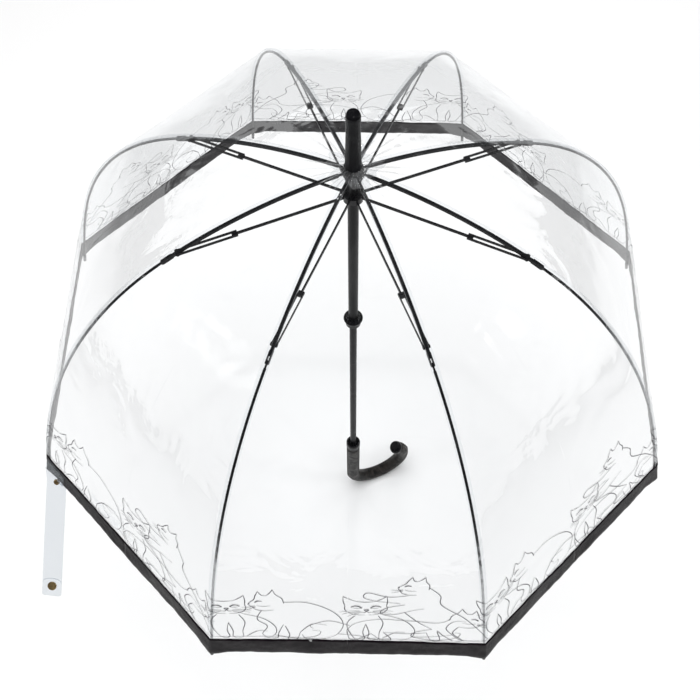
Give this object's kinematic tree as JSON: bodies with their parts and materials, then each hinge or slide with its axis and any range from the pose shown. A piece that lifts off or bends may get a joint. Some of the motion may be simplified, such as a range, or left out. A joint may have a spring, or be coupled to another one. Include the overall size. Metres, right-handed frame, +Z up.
{
  "type": "clear dome umbrella",
  "caption": "Open dome umbrella: clear film over folding ribs and spring rods, sliding runner with stretchers, spring catches, crook handle, long ferrule and tie strap.",
  "frame": {"origin": "middle of the straight hand grip, on the shaft axis", "axes": "+Z up the shaft towards the ferrule, -Y towards the front, +X to the right"},
  "size_m": [0.802, 0.7864, 0.9747],
  "materials": {
    "shaft_steel": "satin",
    "satin_black": "satin",
    "gloss_black": "gloss",
    "clear_plastic": "clear gloss",
    "bright_steel": "bright",
    "grip_leather": "grained",
    "strap_film": "milky soft film",
    "brass": "polished",
    "rib_steel": "satin",
    "stretcher_steel": "satin",
    "rod_black": "satin",
    "clear_film": "clear gloss film"
  },
  "bodies": {
    "shaft": {"shaft_tube": "shaft_steel", "ferrule": "gloss_black", "ferrule_tip": "gloss_black", "crown_washer": "clear_plastic", "top_notch": "gloss_black", "notch_wire": "bright_steel", "catch_pins": "bright_steel", "handle_collar": "gloss_black", "handle_grip": "grip_leather", "handle_cap": "gloss_black"},
    "runner": {"runner_sleeve": "satin_black", "runner_crown": "gloss_black", "runner_wire": "bright_steel", "runner_grip": "gloss_black"},
    "top_catch": {"top_catch": "bright_steel"},
    "bottom_catch": {"bottom_catch": "bright_steel"},
    "tie_strap": {"tie_strap": "strap_film", "strap_rivet": "brass", "strap_snap": "brass"},
    "rib_1": {"rib_1": "rib_steel", "film_crown_1": "clear_film"},
    "rod_1": {"spring_rod_1": "rod_black", "film_skirt_1": "clear_film"},
    "stretcher_1": {"stretcher_1": "stretcher_steel"},
    "rib_2": {"rib_2": "rib_steel", "film_crown_2": "clear_film"},
    "rod_2": {"spring_rod_2": "rod_black", "film_skirt_2": "clear_film"},
    "stretcher_2": {"stretcher_2": "stretcher_steel"},
    "rib_3": {"rib_3": "rib_steel", "film_crown_3": "clear_film"},
    "rod_3": {"spring_rod_3": "rod_black", "film_skirt_3": "clear_film"},
    "stretcher_3": {"stretcher_3": "stretcher_steel"},
    "rib_4": {"rib_4": "rib_steel", "film_crown_4": "clear_film"},
    "rod_4": {"spring_rod_4": "rod_black", "film_skirt_4": "clear_film"},
    "stretcher_4": {"stretcher_4": "stretcher_steel"},
    "rib_5": {"rib_5": "rib_steel", "film_crown_5": "clear_film"},
    "rod_5": {"spring_rod_5": "rod_black", "film_skirt_5": "clear_film"},
    "stretcher_5": {"stretcher_5": "stretcher_steel"},
    "rib_6": {"rib_6": "rib_steel", "film_crown_6": "clear_film"},
    "rod_6": {"spring_rod_6": "rod_black", "film_skirt_6": "clear_film"},
    "stretcher_6": {"stretcher_6": "stretcher_steel"},
    "rib_7": {"rib_7": "rib_steel", "film_crown_7": "clear_film"},
    "rod_7": {"spring_rod_7": "rod_black", "film_skirt_7": "clear_film"},
    "stretcher_7": {"stretcher_7": "stretcher_steel"},
    "rib_8": {"rib_8": "rib_steel", "film_crown_8": "clear_film"},
    "rod_8": {"spring_rod_8": "rod_black", "film_skirt_8": "clear_film"},
    "stretcher_8": {"stretcher_8": "stretcher_steel"}
  },
  "joints": [
    {"name": "runner_slide", "type": "slide", "parent": "shaft", "child": "runner", "axis": [0, 0, 1], "range_m": [-0.32584, 0], "deforming": ["film_crown_1", "film_crown_2", "film_crown_3", "film_crown_4", "film_crown_5", "film_crown_6", "film_crown_7", "film_crown_8", "film_skirt_1", "film_skirt_2", "film_skirt_3", "film_skirt_4", "film_skirt_5", "film_skirt_6", "film_skirt_7", "film_skirt_8", "top_catch", "bottom_catch"]},
    {"name": "rib_1_fold", "type": "hinge", "parent": "shaft", "child": "rib_1", "pos_m": [0.00344, -0.00831, 0.766], "axis": [0.9239, 0.3827, 0], "range_deg": [0, 70.05]},
    {"name": "rod_1_flex", "type": "hinge", "parent": "rib_1", "child": "rod_1", "pos_m": [0.07922, -0.19126, 0.71571], "axis": [0.9239, 0.3827, 0], "range_deg": [-44.05, 0]},
    {"name": "stretcher_1_swing", "type": "hinge", "parent": "runner", "child": "stretcher_1", "pos_m": [0.00344, -0.00831, 0.726], "axis": [0.9239, 0.3827, 0], "range_deg": [-83.77, 0]},
    {"name": "rib_2_fold", "type": "hinge", "parent": "shaft", "child": "rib_2", "pos_m": [0.00831, -0.00344, 0.766], "axis": [0.3827, 0.9239, 0], "range_deg": [0, 70.05]},
    {"name": "rod_2_flex", "type": "hinge", "parent": "rib_2", "child": "rod_2", "pos_m": [0.19126, -0.07922, 0.71571], "axis": [0.3827, 0.9239, 0], "range_deg": [-44.05, 0]},
    {"name": "stretcher_2_swing", "type": "hinge", "parent": "runner", "child": "stretcher_2", "pos_m": [0.00831, -0.00344, 0.726], "axis": [0.3827, 0.9239, 0], "range_deg": [-83.77, 0]},
    {"name": "rib_3_fold", "type": "hinge", "parent": "shaft", "child": "rib_3", "pos_m": [0.00831, 0.00344, 0.766], "axis": [-0.3827, 0.9239, 0], "range_deg": [0, 70.05]},
    {"name": "rod_3_flex", "type": "hinge", "parent": "rib_3", "child": "rod_3", "pos_m": [0.19126, 0.07922, 0.71571], "axis": [-0.3827, 0.9239, 0], "range_deg": [-44.05, 0]},
    {"name": "stretcher_3_swing", "type": "hinge", "parent": "runner", "child": "stretcher_3", "pos_m": [0.00831, 0.00344, 0.726], "axis": [-0.3827, 0.9239, 0], "range_deg": [-83.77, 0]},
    {"name": "rib_4_fold", "type": "hinge", "parent": "shaft", "child": "rib_4", "pos_m": [0.00344, 0.00831, 0.766], "axis": [-0.9239, 0.3827, 0], "range_deg": [0, 70.05]},
    {"name": "rod_4_flex", "type": "hinge", "parent": "rib_4", "child": "rod_4", "pos_m": [0.07922, 0.19126, 0.71571], "axis": [-0.9239, 0.3827, 0], "range_deg": [-44.05, 0]},
    {"name": "stretcher_4_swing", "type": "hinge", "parent": "runner", "child": "stretcher_4", "pos_m": [0.00344, 0.00831, 0.726], "axis": [-0.9239, 0.3827, 0], "range_deg": [-83.77, 0]},
    {"name": "rib_5_fold", "type": "hinge", "parent": "shaft", "child": "rib_5", "pos_m": [-0.00344, 0.00831, 0.766], "axis": [-0.9239, -0.3827, 0], "range_deg": [0, 70.05]},
    {"name": "rod_5_flex", "type": "hinge", "parent": "rib_5", "child": "rod_5", "pos_m": [-0.07922, 0.19126, 0.71571], "axis": [-0.9239, -0.3827, 0], "range_deg": [-44.05, 0]},
    {"name": "stretcher_5_swing", "type": "hinge", "parent": "runner", "child": "stretcher_5", "pos_m": [-0.00344, 0.00831, 0.726], "axis": [-0.9239, -0.3827, 0], "range_deg": [-83.77, 0]},
    {"name": "rib_6_fold", "type": "hinge", "parent": "shaft", "child": "rib_6", "pos_m": [-0.00831, 0.00344, 0.766], "axis": [-0.3827, -0.9239, 0], "range_deg": [0, 70.05]},
    {"name": "rod_6_flex", "type": "hinge", "parent": "rib_6", "child": "rod_6", "pos_m": [-0.19126, 0.07922, 0.71571], "axis": [-0.3827, -0.9239, 0], "range_deg": [-44.05, 0]},
    {"name": "stretcher_6_swing", "type": "hinge", "parent": "runner", "child": "stretcher_6", "pos_m": [-0.00831, 0.00344, 0.726], "axis": [-0.3827, -0.9239, 0], "range_deg": [-83.77, 0]},
    {"name": "rib_7_fold", "type": "hinge", "parent": "shaft", "child": "rib_7", "pos_m": [-0.00831, -0.00344, 0.766], "axis": [0.3827, -0.9239, 0], "range_deg": [0, 70.05]},
    {"name": "rod_7_flex", "type": "hinge", "parent": "rib_7", "child": "rod_7", "pos_m": [-0.19126, -0.07922, 0.71571], "axis": [0.3827, -0.9239, 0], "range_deg": [-44.05, 0]},
    {"name": "stretcher_7_swing", "type": "hinge", "parent": "runner", "child": "stretcher_7", "pos_m": [-0.00831, -0.00344, 0.726], "axis": [0.3827, -0.9239, 0], "range_deg": [-83.77, 0]},
    {"name": "rib_8_fold", "type": "hinge", "parent": "shaft", "child": "rib_8", "pos_m": [-0.00344, -0.00831, 0.766], "axis": [0.9239, -0.3827, 0], "range_deg": [0, 70.05]},
    {"name": "rod_8_flex", "type": "hinge", "parent": "rib_8", "child": "rod_8", "pos_m": [-0.07922, -0.19126, 0.71571], "axis": [0.9239, -0.3827, 0], "range_deg": [-44.05, 0]},
    {"name": "stretcher_8_swing", "type": "hinge", "parent": "runner", "child": "stretcher_8", "pos_m": [-0.00344, -0.00831, 0.726], "axis": [0.9239, -0.3827, 0], "range_deg": [-83.77, 0]},
    {"name": "top_catch_press", "type": "hinge", "parent": "shaft", "child": "top_catch", "pos_m": [0, 0, 0.42864], "axis": [1, 0, 0], "range_deg": [0, 9], "stiffness_Nm_per_rad": 0.06},
    {"name": "bottom_catch_press", "type": "hinge", "parent": "shaft", "child": "bottom_catch", "pos_m": [0, 0, 0.1816], "axis": [-1, 0, 0], "range_deg": [0, 9], "stiffness_Nm_per_rad": 0.06},
    {"name": "tie_strap_swing", "type": "hinge", "parent": "rod_7", "child": "tie_strap", "pos_m": [-0.37993, -0.17131, 0.34401], "axis": [0.9954, -0.0723, -0.0629], "range_deg": [-30, 38]}
  ],
  "couplings": [
    {"joint": "rib_1_fold", "follows": "runner_slide", "rad_per_m": -3.7495},
    {"joint": "rod_1_flex", "follows": "runner_slide", "rad_per_m": 2.3568},
    {"joint": "stretcher_1_swing", "follows": "runner_slide", "rad_per_m": 4.4842},
    {"joint": "rib_2_fold", "follows": "runner_slide", "rad_per_m": -3.7495},
    {"joint": "rod_2_flex", "follows": "runner_slide", "rad_per_m": 2.3568},
    {"joint": "stretcher_2_swing", "follows": "runner_slide", "rad_per_m": 4.4842},
    {"joint": "rib_3_fold", "follows": "runner_slide", "rad_per_m": -3.7495},
    {"joint": "rod_3_flex", "follows": "runner_slide", "rad_per_m": 2.3568},
    {"joint": "stretcher_3_swing", "follows": "runner_slide", "rad_per_m": 4.4842},
    {"joint": "rib_4_fold", "follows": "runner_slide", "rad_per_m": -3.7495},
    {"joint": "rod_4_flex", "follows": "runner_slide", "rad_per_m": 2.3568},
    {"joint": "stretcher_4_swing", "follows": "runner_slide", "rad_per_m": 4.4842},
    {"joint": "rib_5_fold", "follows": "runner_slide", "rad_per_m": -3.7495},
    {"joint": "rod_5_flex", "follows": "runner_slide", "rad_per_m": 2.3568},
    {"joint": "stretcher_5_swing", "follows": "runner_slide", "rad_per_m": 4.4842},
    {"joint": "rib_6_fold", "follows": "runner_slide", "rad_per_m": -3.7495},
    {"joint": "rod_6_flex", "follows": "runner_slide", "rad_per_m": 2.3568},
    {"joint": "stretcher_6_swing", "follows": "runner_slide", "rad_per_m": 4.4842},
    {"joint": "rib_7_fold", "follows": "runner_slide", "rad_per_m": -3.7495},
    {"joint": "rod_7_flex", "follows": "runner_slide", "rad_per_m": 2.3568},
    {"joint": "stretcher_7_swing", "follows": "runner_slide", "rad_per_m": 4.4842},
    {"joint": "rib_8_fold", "follows": "runner_slide", "rad_per_m": -3.7495},
    {"joint": "rod_8_flex", "follows": "runner_slide", "rad_per_m": 2.3568},
    {"joint": "stretcher_8_swing", "follows": "runner_slide", "rad_per_m": 4.4842}
  ]
}
